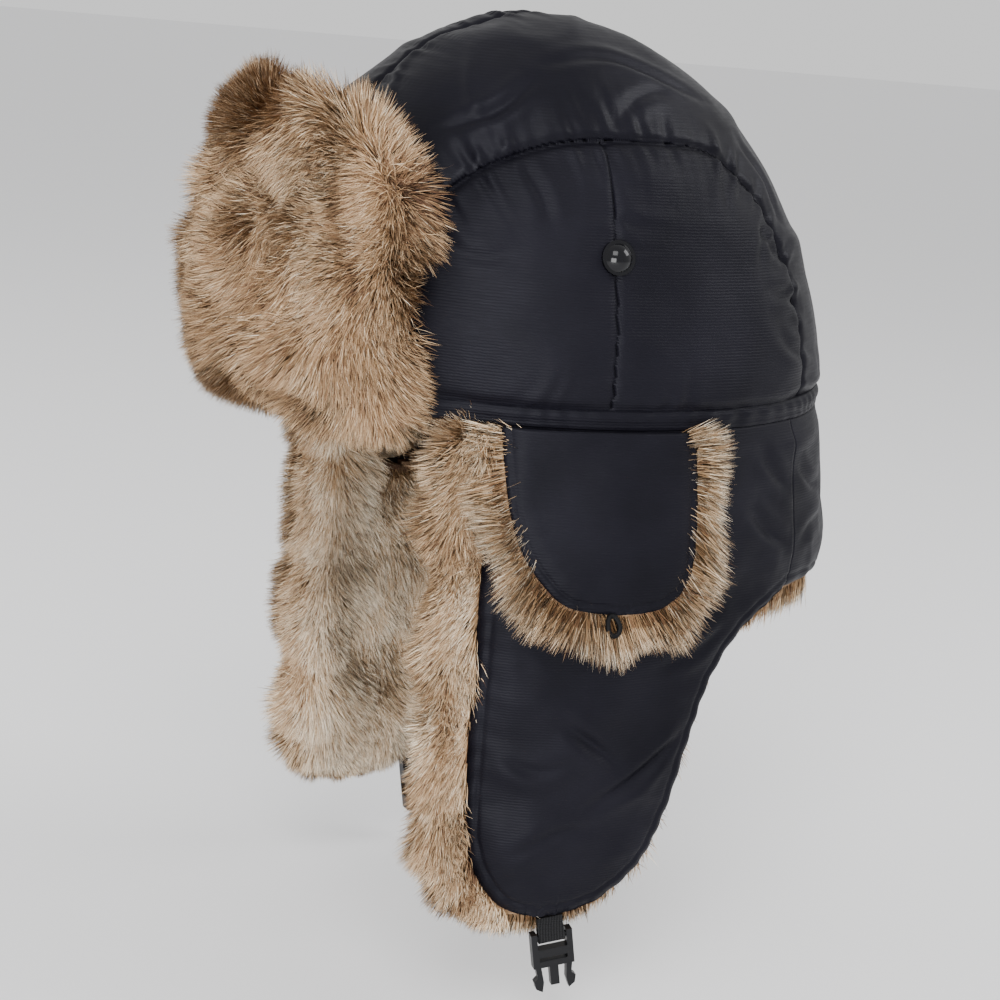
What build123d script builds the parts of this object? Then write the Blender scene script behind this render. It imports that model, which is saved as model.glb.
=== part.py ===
"""Trapper hat: padded nylon crown with fur-lined front, ear and neck flaps.

Millimetres, +Z up, the hat faces -Y, the wearer's left is +X. The origin is the
centre of the head opening, in the plane of the band's lower edge.
"""
from build123d import *
from math import radians, sin, sqrt
import os

os.makedirs("parts", exist_ok=True)

# ---- driving dimensions ------------------------------------------------------
BAND_A = 92.0  # outer half width of the band, along X
BAND_B = 111.0  # outer half length of the band, along Y
CROWN_H = 139.0  # crown height above the band's lower edge
CROWN_LEAN = 15.0  # how far forward the top of the crown sits
CROWN_FULLNESS = 2.2  # 2 is an ellipse, more is fuller towards the top

CLOTH = 1.2  # nylon shell
PAD = 4.0  # wadding in the crown and flaps
LINING = 0.8
SWEATBAND = 1.6
BAND_HEIGHT = 7.0
BAND_PROUD = 0.4

SIDE_SEAM_Y = -26.0  # vertical seam of the side panel, and the dome button on it
BUTTON_Z = 59.0
BUTTON_R = 6.2
BUTTON_H = 4.2
SHANK_R = 1.8

FLAP_GAP = 0.6  # between the band's lower edge and the top of each flap
SPLIT_Y = 62.0  # where the ear flaps end and the neck flap begins
SPLIT_GAP = 0.3
EAR_FUR = 17.0  # pile depth inside the ear and neck flaps
NECK_DROP = 66.0
NECK_FUR_DROP = 80.0

VENT_Y = -25.0  # middle of the ear vent and its cover flap
VENT_FRONT_Y = -63.0  # the cover flap's front and rear edges at its sewn top
VENT_REAR_Y = 8.0
VENT_DROP = 65.0
VENT_TOP_OFF = 2.0  # the vent flap stands off the ear flap, more towards its tip
VENT_SLOPE = 0.16
VENT_FUR_TOP = 15.0
HOLE_HALF = 19.0
HOLE_TOP = 17.0
HOLE_DROP = 54.0
BINDING = 2.2

FRONT_OFF = 5.0  # the front flap stands off the crown
FRONT_FUR = 22.0
FRONT_HALF = 67.0  # half width of the front flap's backing, across X
FRONT_TOP = 104.0
FRONT_PAD = 3.3
PATCH_HALF = 20.0
PATCH_LOW = 58.0
PATCH_HIGH = 76.0
PATCH_T = 1.2

LEFT_STRAP_ROOT = (-28.0, -187.5)  # (y, z) where each chin strap leaves its ear flap
RIGHT_STRAP_ROOT = (-2.0, -180.6)
STRAP_W = 10.0
STRAP_T = 0.9
STRAP_TILT = 10.0
LEFT_STRAP = 9.0
RIGHT_STRAP = 12.0
RAIL_R = 1.1
BUCKLE_W = 16.0
BUCKLE_T = 4.0
FEMALE_W = 17.0
FEMALE_T = 7.8
SOCKET_T = 5.4
FEMALE_L = 21.0

REACH = 170.0  # longer than any half width of the hat


# ---- shared shapes -----------------------------------------------------------
def oval(off):
    """The band's outer oval, grown by off."""
    return Ellipse(BAND_A + off, BAND_B + off)


def wall(outer, inner, low, high):
    """A standing oval tube between two offsets of the band's outer oval."""
    ring = oval(outer) - oval(inner)
    return Pos(0, 0, low) * extrude(ring, high - low)


def cone(top_off, low):
    """A closed oval cone from z = 0 down to low, which widens downwards."""
    top = oval(top_off)
    bottom = Pos(0, 0, low) * oval(top_off - VENT_SLOPE * low)
    return loft([bottom, top], ruled=True)


def lean_at(level):
    """How far forward the crown's centre sits, where level is the height over the crown's."""
    return -CROWN_LEAN * (1 - (1 - level) ** 2)


def spread_at(level):
    """How wide the crown is at a level, where level is the height over the crown's."""
    return sqrt(1 - level**CROWN_FULLNESS)


def dome(inset):
    """The crown's closed solid, inset from its outer surface."""
    sections = []
    for angle in (0, 8, 16, 26, 36, 46, 56, 65, 73, 80, 85, 88):
        rise = sin(radians(angle))
        spread = spread_at(rise)
        section = Ellipse((BAND_A - inset) * spread, (BAND_B - inset) * spread)
        sections.append(Pos(0, lean_at(rise), (CROWN_H - inset) * rise) * section)
    return loft(sections)


def slab(low, high):
    """Everything between two heights."""
    return Pos(0, 0, (low + high) / 2) * Box(2 * REACH, 2 * REACH, high - low)


def side_prism(edges, x_from=20.0):
    """A side-view outline in (y, z), pushed out along +X."""
    face = make_face(Plane.YZ.offset(x_from) * edges)
    return extrude(face, REACH, dir=(1, 0, 0))


def front_prism(edges, sign):
    """A front-view outline in (x, z), pushed along -Y or +Y."""
    face = make_face(Plane(origin=(0, 0, 0), x_dir=(1, 0, 0), z_dir=(0, -1, 0)) * edges)
    return extrude(face, REACH, dir=(0, sign, 0))


def save(shape, name):
    """Writes one node's STEP."""
    solids = shape.solids()
    kept = solids[0] if len(solids) == 1 else Compound(children=list(solids))
    export_step(kept, f"parts/{name}.step")


def save_pair(shape, name):
    """Writes a left-hand shape and its mirror image."""
    save(shape, f"{name}_left")
    save(mirror(shape, about=Plane.YZ), f"{name}_right")


# ---- crown -------------------------------------------------------------------
def side_panel_outline():
    """The D-shaped side panel, closed below the band."""
    rise = Spline([(-96, 40), (-90, 64), (-78, 78), (-62, 89), (-36, 97), (0, 98), (24, 94), (45, 79), (59, 58), (66, 38)])
    return rise + Polyline([(66, 38), (69, -5), (-98, -5), (-96, 40)])


def button_frame():
    """The plane on the crown's skin at the dome button, facing outwards."""
    level = BUTTON_Z / CROWN_H
    y_shift = SIDE_SEAM_Y - lean_at(level)
    x = BAND_A * sqrt(spread_at(level) ** 2 - (y_shift / BAND_B) ** 2)
    lean_rate = -2 * CROWN_LEAN * (1 - level) / CROWN_H
    normal = Vector(
        x / BAND_A**2,
        y_shift / BAND_B**2,
        CROWN_FULLNESS / 2 * level ** (CROWN_FULLNESS - 1) / CROWN_H - y_shift / BAND_B**2 * lean_rate,
    ).normalized()
    return Plane(origin=(x, SIDE_SEAM_Y, BUTTON_Z), x_dir=(0, 1, 0), z_dir=normal)


def dome_button(frame):
    """Glossy snap cap with a flat rim, on a shank through the crown's wall."""
    on_skin = (Align.CENTER, Align.CENTER, Align.MIN)
    depth = CLOTH + PAD
    shank = Pos(0, 0, -depth) * Cylinder(SHANK_R, depth + 0.5, align=on_skin)
    rim = Pos(0, 0, 0.3) * Cylinder(BUTTON_R, 1.3, align=on_skin)
    cap_r = BUTTON_R - 1.2
    cap_h = BUTTON_H - 1.6
    ball_r = (cap_r**2 + cap_h**2) / (2 * cap_h)
    ball = Pos(0, 0, BUTTON_H - ball_r) * Sphere(ball_r)
    cap = ball & (Pos(0, 0, 1.0) * Cylinder(BUTTON_R, BUTTON_H, align=on_skin))
    return frame * (shank + rim + cap)


def button_washer(frame):
    """Flat washer inside the lining that the shank is riveted to."""
    depth = CLOTH + PAD
    disc = Cylinder(5.0, 0.7, align=(Align.CENTER, Align.CENTER, Align.MAX))
    return frame * Pos(0, 0, -depth) * disc


def build_crown():
    outer = dome(0)
    under_cloth = dome(CLOTH)
    under_pad = dome(CLOTH + PAD)
    under_lining = dome(CLOTH + PAD + LINING)
    under_sweatband = dome(CLOTH + PAD + LINING + SWEATBAND)

    frame = button_frame()
    shank_hole = frame * Cylinder(SHANK_R, 30)
    washer_room = frame * Pos(0, 0, -CLOTH - PAD) * Cylinder(5.0, 1.4)
    both_shanks = shank_hole + mirror(shank_hole, about=Plane.YZ)
    both_washers = washer_room + mirror(washer_room, about=Plane.YZ)

    skin = (outer - under_cloth) & slab(BAND_HEIGHT, CROWN_H + 5)
    skin -= both_shanks
    d_left = side_prism(side_panel_outline())
    d_right = mirror(d_left, about=Plane.YZ)
    top = skin - d_left - d_right
    left_half = Pos(REACH / 2, 0, 60) * Box(REACH, 2 * REACH, 2 * REACH)
    save_pair(top & left_half, "crown_top")

    front_half = Pos(0, SIDE_SEAM_Y - REACH, 0) * Box(2 * REACH, 2 * REACH, 2 * REACH)
    side = skin & d_left
    save_pair(side & front_half, "side_panel_front")
    save_pair(side - front_half, "side_panel_back")

    padding = (under_cloth - under_pad) & slab(0, CROWN_H)
    save(padding - both_shanks - both_washers, "crown_padding")
    lining = (under_pad - under_lining) & slab(0, CROWN_H)
    save(lining - both_shanks - both_washers, "crown_lining")
    save((under_lining - under_sweatband) & slab(1.0, 30.0), "sweatband")
    save((dome(-BAND_PROUD) - under_cloth) & slab(0, BAND_HEIGHT), "headband")

    save_pair(dome_button(frame), "dome_button")
    save_pair(button_washer(frame), "button_washer")

    patch_height = PATCH_HIGH - PATCH_LOW
    patch_area = Pos(0, -REACH / 2, PATCH_LOW + patch_height / 2) * Box(2 * PATCH_HALF, REACH, patch_height)
    save((dome(-PATCH_T) - outer) & patch_area, "front_patch_loop")
    return patch_area


# ---- front flap --------------------------------------------------------------
def front_outline(grow):
    """The front flap in front view: nearly straight sides and a rounded top."""
    half = FRONT_HALF + grow
    top = FRONT_TOP + 0.6 * grow
    low = FLAP_GAP
    shoulder = top - 34
    edges = ThreePointArc((-half, shoulder), (-half * 0.8, top - 9), (-half * 0.42, top))
    edges += Line((-half * 0.42, top), (half * 0.42, top))
    edges += ThreePointArc((half * 0.42, top), (half * 0.8, top - 9), (half, shoulder))
    edges += Polyline([(half, shoulder), (half, low), (-half, low), (-half, shoulder)])
    return edges


def build_front_flap(patch_area):
    cut = front_prism(front_outline(0), -1)
    fur_cut = front_prism(front_outline(11), -1)
    base = FRONT_OFF + CLOTH
    tall = FRONT_TOP + 20
    save(wall(base, FRONT_OFF, 0, tall) & cut, "front_flap_shell")
    save(wall(base + FRONT_PAD, base, 0, tall) & cut, "front_flap_padding")
    fur = wall(base + FRONT_PAD + FRONT_FUR, base + FRONT_PAD, 0, tall) & fur_cut
    save(fur, "front_flap_fur")
    save(wall(FRONT_OFF, FRONT_OFF - PATCH_T, 0, tall) & patch_area, "front_patch_hook")


# ---- ear flaps ---------------------------------------------------------------
def ear_outline():
    """Side view of an ear flap: straight front edge, narrow round foot, sloping rear."""
    foot = Spline([(-60, -160), (-55, -176), (-45, -185.5), (-28, -186.3), (-10, -181.5), (8, -169), (19, -145)])
    rear = Spline([(19, -145), (26, -108), (40, -81), (SPLIT_Y - SPLIT_GAP, -NECK_DROP)])
    end = SPLIT_Y - SPLIT_GAP
    edges = Polyline([(end, -NECK_DROP), (end, -FLAP_GAP), (-64, -FLAP_GAP), (-60, -160)])
    return foot + rear + edges


def ear_fur_outline():
    """The pile stands out beyond the ear flap's front, foot and rear edges."""
    foot = Spline([(-75, -172), (-62, -196), (-46, -188), (-30, -184.5), (-10, -184.5), (18, -172), (29, -150)])
    rear = Spline([(29, -150), (36, -118), (49, -93), (SPLIT_Y - SPLIT_GAP, -NECK_FUR_DROP)])
    end = SPLIT_Y - SPLIT_GAP
    edges = Polyline([(end, -NECK_FUR_DROP), (end, -3), (-82, -6), (-75, -172)])
    return foot + rear + edges


def u_outline(half, top, bottom, y=VENT_Y):
    """A U shape with a straight top."""
    side = bottom + half * 0.9
    edges = Polyline([(y - half, side), (y - half, top), (y + half, top), (y + half, side)])
    edges += ThreePointArc((y + half, side), (y, bottom), (y - half, side))
    return edges


def build_ear_flaps():
    area = side_prism(ear_outline())
    hole = side_prism(u_outline(HOLE_HALF, -HOLE_TOP, -HOLE_DROP))
    rim = side_prism(u_outline(HOLE_HALF + BINDING, -HOLE_TOP + BINDING, -HOLE_DROP - BINDING))
    low = -200
    save_pair((wall(0, -CLOTH, low, 0) & area) - rim, "ear_flap_shell")
    save_pair((wall(-CLOTH, -CLOTH - PAD, low, 0) & area) - rim, "ear_flap_padding")
    fur = wall(-CLOTH - PAD, -CLOTH - PAD - EAR_FUR, low, 0) & side_prism(ear_fur_outline())
    save_pair(fur - hole, "ear_flap_fur")
    save_pair((wall(0.2, -CLOTH - PAD, low, 0) & rim) - hole, "vent_binding")


# ---- vent flaps --------------------------------------------------------------
def vent_outline():
    """The cover flap in side view: its front edge slants in to a blunt round tip."""
    front = VENT_FRONT_Y
    rear = VENT_REAR_Y
    tip = Spline([(front + 17, -54), (front + 25, -61.5), (VENT_Y, -VENT_DROP), (rear - 5, -58), (rear + 1, -45)])
    edges = Polyline([(rear + 1, -45), (rear, -2), (front, -2), (front + 2, -14), (front + 5.5, -30), (front + 17, -54)])
    return tip + edges


def vent_fur_outline():
    """Pile that spreads beyond the cover flap's edge."""
    front = VENT_FRONT_Y
    rear = VENT_REAR_Y
    tip = Spline([(front - 7, -40), (front + 6, -70), (VENT_Y, -82), (rear + 6, -74), (rear + 17, -48)])
    edges = Polyline(
        [(rear + 17, -48), (rear + 9, -VENT_FUR_TOP), (front - 4, -VENT_FUR_TOP), (front - 7, -40)]
    )
    return tip + edges


def vent_loop():
    """Small elastic loop at the tip of the cover flap."""
    z = -VENT_DROP - 3.6
    off = VENT_TOP_OFF - VENT_SLOPE * z + CLOTH / 2
    x = (BAND_A + off) * sqrt(1 - (VENT_Y / (BAND_B + off)) ** 2)
    ring = Rot(0, 90, 0) * Torus(2.3, 0.7)
    stem = Pos(0, 0, 2.9) * Cylinder(0.7, 1.4)
    lying = Pos(x, VENT_Y, z - 0.2) * (ring + stem)
    return lying


def build_vent_flaps():
    low = -100
    inner = cone(VENT_TOP_OFF, low)
    outer = cone(VENT_TOP_OFF + CLOTH, low)
    shell = (outer - inner) & side_prism(vent_outline())
    fur = (inner - Pos(0, 0, low) * extrude(oval(0.6), -low)) & side_prism(vent_fur_outline())
    loop = vent_loop()
    save_pair(shell - loop, "vent_flap_shell")
    save_pair(fur - loop, "vent_flap_fur")
    save_pair(loop, "vent_loop")


# ---- neck flap ---------------------------------------------------------------
def build_neck_flap():
    behind = Pos(0, SPLIT_Y + SPLIT_GAP + REACH, 0) * Box(2 * REACH, 2 * REACH, 4 * REACH)
    save(wall(0, -CLOTH, -NECK_DROP, -FLAP_GAP) & behind, "neck_flap_shell")
    save(wall(-CLOTH, -CLOTH - PAD, -NECK_DROP, -FLAP_GAP) & behind, "neck_flap_padding")
    fur = wall(-CLOTH - PAD, -CLOTH - PAD - EAR_FUR, -NECK_FUR_DROP, -3) & behind
    save(fur, "neck_flap_fur")


# ---- straps and buckle -------------------------------------------------------
def strap_frame(root):
    """The plane at a strap's root: x along the flap's edge, y up, z outwards."""
    y, z = root
    x = (BAND_A - 3.2) * sqrt(1 - (y / (BAND_B - 3.2)) ** 2)
    normal = Vector(x / BAND_A**2, y / BAND_B**2, 0).normalized()
    along = Vector(-normal.Y, normal.X, 0)
    plane = Plane(origin=(x, y, z), x_dir=along, z_dir=normal)
    return plane * Rot(0, 0, STRAP_TILT)


def strap(length):
    """Doubled webbing sewn to itself, folded round the buckle's rail."""
    inner = RAIL_R + 0.15
    outer = inner + STRAP_T
    top = -0.6
    fork = -length + 5.0
    side = Plane(origin=(0, 0, 0), x_dir=(0, 0, 1), z_dir=(-1, 0, 0))
    skin = Polyline(
        [(-STRAP_T, top), (STRAP_T, top), (STRAP_T, fork), (outer, -length), (-outer, -length), (-STRAP_T, fork)],
        close=True,
    )
    eye = Polyline([(0, fork - 0.6), (inner, -length), (-inner, -length)], close=True)
    body = make_face(skin) + Pos(0, -length) * Circle(outer)
    hole = make_face(eye) + Pos(0, -length) * Circle(inner)
    return extrude(side * (body - hole), STRAP_W / 2, both=True)


def rail(width):
    """Round rail that the webbing is folded round, along x."""
    return Rot(0, 90, 0) * Cylinder(RAIL_R, width)


def male_buckle():
    """Three-pronged half of a side-release buckle, hanging from its rail at the origin."""
    half = BUCKLE_W / 2
    frame = Pos(0, -4.6) * Rectangle(BUCKLE_W, 14.0)
    slot = Pos(0, -0.6) * Rectangle(STRAP_W + 1.4, 7.2)
    groove = Pos(0, -8.3) * Rectangle(STRAP_W + 1.0, 1.6)
    body = extrude(frame - slot - groove, BUCKLE_T / 2, both=True)
    body += rail(BUCKLE_W - 1)
    guide = extrude(Pos(0, -15.6) * Rectangle(3.4, 8.2), 1.5, both=True)
    arm = make_face(
        Polyline(
            [
                (half - 3.0, -11.4),
                (half - 0.8, -11.4),
                (half - 1.4, -16.0),
                (half + 0.2, -17.4),
                (half - 0.4, -20.4),
                (half - 2.8, -22.0),
                (half - 3.6, -18.0),
            ],
            close=True,
        )
    )
    prong = extrude(arm, 1.5, both=True)
    body += guide + prong + mirror(prong, about=Plane.YZ)
    return body


def female_buckle():
    """Socket half of the buckle: hollow box with side windows, on a rail at the origin."""
    frame = Pos(0, -1.6) * Rectangle(FEMALE_W, 7.4)
    slot = Pos(0, -0.9) * Rectangle(STRAP_W + 1.4, 6.4)
    head = extrude(frame - slot, BUCKLE_T / 2, both=True)
    box_top = -5.3
    box = Pos(0, box_top - FEMALE_L / 2, 0) * Box(FEMALE_W, FEMALE_L, FEMALE_T)
    box = fillet(box.edges().filter_by(Axis.Y), 1.8)
    room = Pos(0, box_top - FEMALE_L / 2 - 1.0, 0) * Box(FEMALE_W - 3.4, FEMALE_L - 2.0 + 0.01, SOCKET_T)
    window = Pos(0, box_top - 11.0, 0) * Box(FEMALE_W + 4, 7.0, SOCKET_T - 1.0)
    return head + rail(FEMALE_W - 1) + (box - room - window)


def build_straps():
    left = strap_frame(LEFT_STRAP_ROOT)
    save(left * strap(LEFT_STRAP), "strap_left")
    save(left * Pos(0, -LEFT_STRAP, 0) * male_buckle(), "buckle_male")
    right = strap_frame(RIGHT_STRAP_ROOT)
    save(mirror(right * strap(RIGHT_STRAP), about=Plane.YZ), "strap_right")
    save(mirror(right * Pos(0, -RIGHT_STRAP, 0) * female_buckle(), about=Plane.YZ), "buckle_female")


patch_area = build_crown()
build_front_flap(patch_area)
build_ear_flaps()
build_vent_flaps()
build_neck_flap()
build_straps()
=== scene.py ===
"""Looks of the trapper hat: nylon shells, faux fur, fittings, floor, light and camera.

Lengths in this script are millimetres, and every mesh is scaled to metres as it is made.
+Z is up, the hat faces -Y, and the wearer's left is +X, as in the frame.
"""

import math

import bpy
import numpy as np
from mathutils import Matrix, Vector


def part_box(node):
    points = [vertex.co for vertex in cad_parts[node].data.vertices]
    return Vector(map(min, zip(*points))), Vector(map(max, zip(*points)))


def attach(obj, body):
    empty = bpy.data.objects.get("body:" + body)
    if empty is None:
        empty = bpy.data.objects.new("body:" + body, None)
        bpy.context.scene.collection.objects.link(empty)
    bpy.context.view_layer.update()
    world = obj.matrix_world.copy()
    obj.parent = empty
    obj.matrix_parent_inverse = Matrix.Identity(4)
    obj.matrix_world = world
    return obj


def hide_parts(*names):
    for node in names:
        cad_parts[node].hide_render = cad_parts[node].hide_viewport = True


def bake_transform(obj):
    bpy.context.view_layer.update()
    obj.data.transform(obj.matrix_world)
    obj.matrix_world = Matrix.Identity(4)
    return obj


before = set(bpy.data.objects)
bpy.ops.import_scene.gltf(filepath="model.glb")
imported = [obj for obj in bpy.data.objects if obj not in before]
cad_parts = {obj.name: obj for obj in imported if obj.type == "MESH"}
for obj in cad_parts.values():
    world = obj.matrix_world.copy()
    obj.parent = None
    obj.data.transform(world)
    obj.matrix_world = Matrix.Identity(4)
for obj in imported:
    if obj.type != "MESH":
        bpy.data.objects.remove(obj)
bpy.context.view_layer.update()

MM = 0.001
SIDES = (("left", 1), ("right", -1))

# ---- sizes, as in the frame ----------------------------------------------------
BAND_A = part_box("headband")[1][0] / MM - 0.4
BAND_B = 111.0
CROWN_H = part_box("crown_top_left")[1][2] / MM
CROWN_LEAN = 15.0
CROWN_FULLNESS = 2.2
BAND_HEIGHT = 7.0
SIDE_SEAM_Y = -26.0
SPLIT_Y = 62.0
VENT_Y = -25.0
NECK_DROP = 66.0
STRANDS = 33000  # hairs in one mesh, six triangles each
PILE_STRANDS = 26000  # shorter hairs under a cover flap
STRAND_POINTS = 8  # mesh points of one hair


# ---- small maths ---------------------------------------------------------------
def ease(value, low, high):
    """0 below low, 1 above high, smooth between."""
    t = np.clip((value - low) / (high - low), 0, 1)
    return t * t * (3 - 2 * t)


def waves(points, size, seed, count=12):
    """A soft field of about -1 to 1 whose lumps are about size across."""
    draw = np.random.default_rng(seed)
    total = np.zeros(len(points))
    for _ in range(count):
        k = draw.normal(size=3)
        k *= math.pi / size / np.linalg.norm(k) * draw.uniform(0.6, 1.5)
        total += np.sin(points @ k + draw.uniform(0, 2 * math.pi))
    return total / math.sqrt(count)


def creases(points, size, seed):
    """Soft ridges, 1 on the crest of each fold."""
    return np.exp(-((waves(points, size, seed) / 0.3) ** 2))


def unit(vectors):
    """Vectors scaled to length 1."""
    return vectors / np.maximum(np.linalg.norm(vectors, axis=-1, keepdims=True), 1e-9)


def ruffle(points, size, seed):
    """Three soft fields as a vector at each point."""
    return np.stack([waves(points, size, seed + axis) for axis in range(3)], -1)


def band_out(points):
    """Level direction outwards from the band's oval at each point."""
    return unit(points * [1 / BAND_A**2, 1 / BAND_B**2, 0])


def mirrored(points, faces, sign):
    """A left-hand mesh as it is, or as its mirror image for the right."""
    return points * [sign, 1, 1], faces if sign > 0 else faces[:, ::-1]


def round_over(gap, reach):
    """0 at an edge rising to 1 at reach from it, as a quarter circle does."""
    return np.sqrt(np.clip(1 - (1 - np.clip(gap / reach, 0, 1)) ** 2, 0, 1))


def grid_normals(grid):
    """Outward normals of a (rows, columns, 3) grid."""
    down = np.gradient(grid, axis=0)
    along = np.gradient(grid, axis=1)
    return unit(np.cross(along, down))


def nearest(points, line):
    """Distance to a densely sampled line, and the length along it at the nearest sample."""
    steps = np.linalg.norm(np.diff(line, axis=0), axis=1)
    length = np.concatenate([[0], np.cumsum(steps)])
    gap = np.full(len(points), 1e9)
    along = np.zeros(len(points))
    for start in range(0, len(points), 20000):
        part = points[start : start + 20000]
        d2 = ((part[:, None, :] - line[None]) ** 2).sum(-1)
        best = d2.argmin(1)
        gap[start : start + 20000] = np.sqrt(d2[np.arange(len(part)), best])
        along[start : start + 20000] = length[best]
    return gap, along


def curve_through(knots, count):
    """A smooth closed-form (Catmull-Rom) line through a few given points."""
    knots = np.asarray(knots, float)
    padded = np.vstack([2 * knots[0] - knots[1], knots, 2 * knots[-1] - knots[-2]])
    out = []
    spans = len(knots) - 1
    for value in np.linspace(0, spans, count):
        i = min(int(value), spans - 1)
        t = value - i
        p0, p1, p2, p3 = padded[i : i + 4]
        out.append(
            0.5 * (2 * p1 + (p2 - p0) * t + (2 * p0 - 5 * p1 + 4 * p2 - p3) * t**2
                   + (3 * p1 - p0 - 3 * p2 + p3) * t**3)
        )
    return np.array(out)


# ---- mesh making -----------------------------------------------------------------
def add_mesh(name, points, faces, materials, slots=None, normals=None):
    """An object from numpy points (mm) and an (n, 3 or 4) array of faces."""
    mesh = bpy.data.meshes.new(name)
    faces = np.asarray(faces, dtype=np.int32)
    sides = faces.shape[1]
    mesh.vertices.add(len(points))
    mesh.vertices.foreach_set("co", (np.asarray(points) * MM).astype(np.float32).ravel())
    mesh.loops.add(faces.size)
    mesh.loops.foreach_set("vertex_index", faces.ravel())
    mesh.polygons.add(len(faces))
    mesh.polygons.foreach_set("loop_start", np.arange(len(faces), dtype=np.int32) * sides)
    if slots is not None:
        mesh.polygons.foreach_set("material_index", np.asarray(slots, dtype=np.int32))
    for material in materials:
        mesh.materials.append(material)
    mesh.update(calc_edges=True)
    mesh.shade_smooth()
    if normals is not None:
        mesh.normals_split_custom_set_from_vertices(normals.astype(np.float32))
    piece = bpy.data.objects.new(name, mesh)
    bpy.context.scene.collection.objects.link(piece)
    return piece


def grid_faces(rows, columns, closed=False):
    """Quads of a grid; closed joins the last column to the first."""
    r, c = np.meshgrid(np.arange(rows - 1), np.arange(columns if closed else columns - 1), indexing="ij")
    n = (c + 1) % columns
    quads = np.stack([r * columns + c, (r + 1) * columns + c, (r + 1) * columns + n, r * columns + n], -1)
    return quads.reshape(-1, 4)


def closed_sheet(outer, inner, keep=None):
    """Points and faces of a sheet with thickness; keep is a mask of the grid's cells."""
    rows, columns = outer.shape[:2]
    if keep is None:
        keep = np.ones((rows - 1, columns - 1), bool)
    front = grid_faces(rows, columns)[keep.ravel()]
    back = front[:, ::-1] + rows * columns
    edges = {}
    for a, b in np.concatenate([front[:, [i, (i + 1) % 4]] for i in range(4)]):
        if (b, a) in edges:
            del edges[(b, a)]
        else:
            edges[(a, b)] = True
    rim = np.array([[b, a, a + rows * columns, b + rows * columns] for a, b in edges])
    points = np.concatenate([outer.reshape(-1, 3), inner.reshape(-1, 3)])
    return points, np.concatenate([front, back, rim])


def drop_loose(points, faces, *more):
    """Leaves out the points that no face uses."""
    used = np.unique(faces)
    place = np.full(len(points), -1)
    place[used] = np.arange(len(used))
    return (points[used], place[faces]) + tuple(m[used] for m in more)


# ---- materials ---------------------------------------------------------------------
def new_material(name, color, roughness, **sockets):
    material = bpy.data.materials.new(name)
    material.use_nodes = True
    shader = material.node_tree.nodes["Principled BSDF"]
    shader.inputs["Base Color"].default_value = (*color, 1)
    shader.inputs["Roughness"].default_value = roughness
    for key, value in sockets.items():
        shader.inputs[key.replace("_", " ")].default_value = value
    return material


def add_node(material, kind, **values):
    node = material.node_tree.nodes.new(kind)
    for key, value in values.items():
        if key in node.inputs:
            node.inputs[key].default_value = value
        else:
            setattr(node, key, value)
    return node


def stretched_coordinates(material, stretch):
    tree = material.node_tree
    coordinates = add_node(material, "ShaderNodeTexCoord")
    mapping = add_node(material, "ShaderNodeMapping", Scale=stretch)
    tree.links.new(coordinates.outputs["Object"], mapping.inputs["Vector"])
    return mapping.outputs["Vector"]


def add_bump(material, layers):
    """Chains bumps: each layer is (height socket, strength, distance in mm)."""
    tree = material.node_tree
    normal = None
    for height, strength, distance in layers:
        bump = add_node(material, "ShaderNodeBump", Strength=strength, Distance=distance * MM)
        tree.links.new(height, bump.inputs["Height"])
        if normal:
            tree.links.new(normal, bump.inputs["Normal"])
        normal = bump.outputs["Normal"]
    tree.links.new(normal, tree.nodes["Principled BSDF"].inputs["Normal"])


def mix_colors(material, factor, low, high, span):
    """Colour that goes from low to high as factor crosses span."""
    tree = material.node_tree
    ramp = add_node(material, "ShaderNodeValToRGB")
    ramp.color_ramp.elements[0].position = span[0]
    ramp.color_ramp.elements[1].position = span[1]
    ramp.color_ramp.elements[0].color = (*low, 1)
    ramp.color_ramp.elements[1].color = (*high, 1)
    tree.links.new(factor, ramp.inputs["Fac"])
    tree.links.new(ramp.outputs["Color"], tree.nodes["Principled BSDF"].inputs["Base Color"])


def ramp_value(material, factor, low, high, socket):
    """Drives a number from low to high by a 0 to 1 factor."""
    tree = material.node_tree
    spread = add_node(material, "ShaderNodeMapRange")
    spread.inputs["To Min"].default_value = low
    spread.inputs["To Max"].default_value = high
    tree.links.new(factor, spread.inputs["Value"])
    tree.links.new(spread.outputs["Result"], tree.nodes["Principled BSDF"].inputs[socket])


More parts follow.
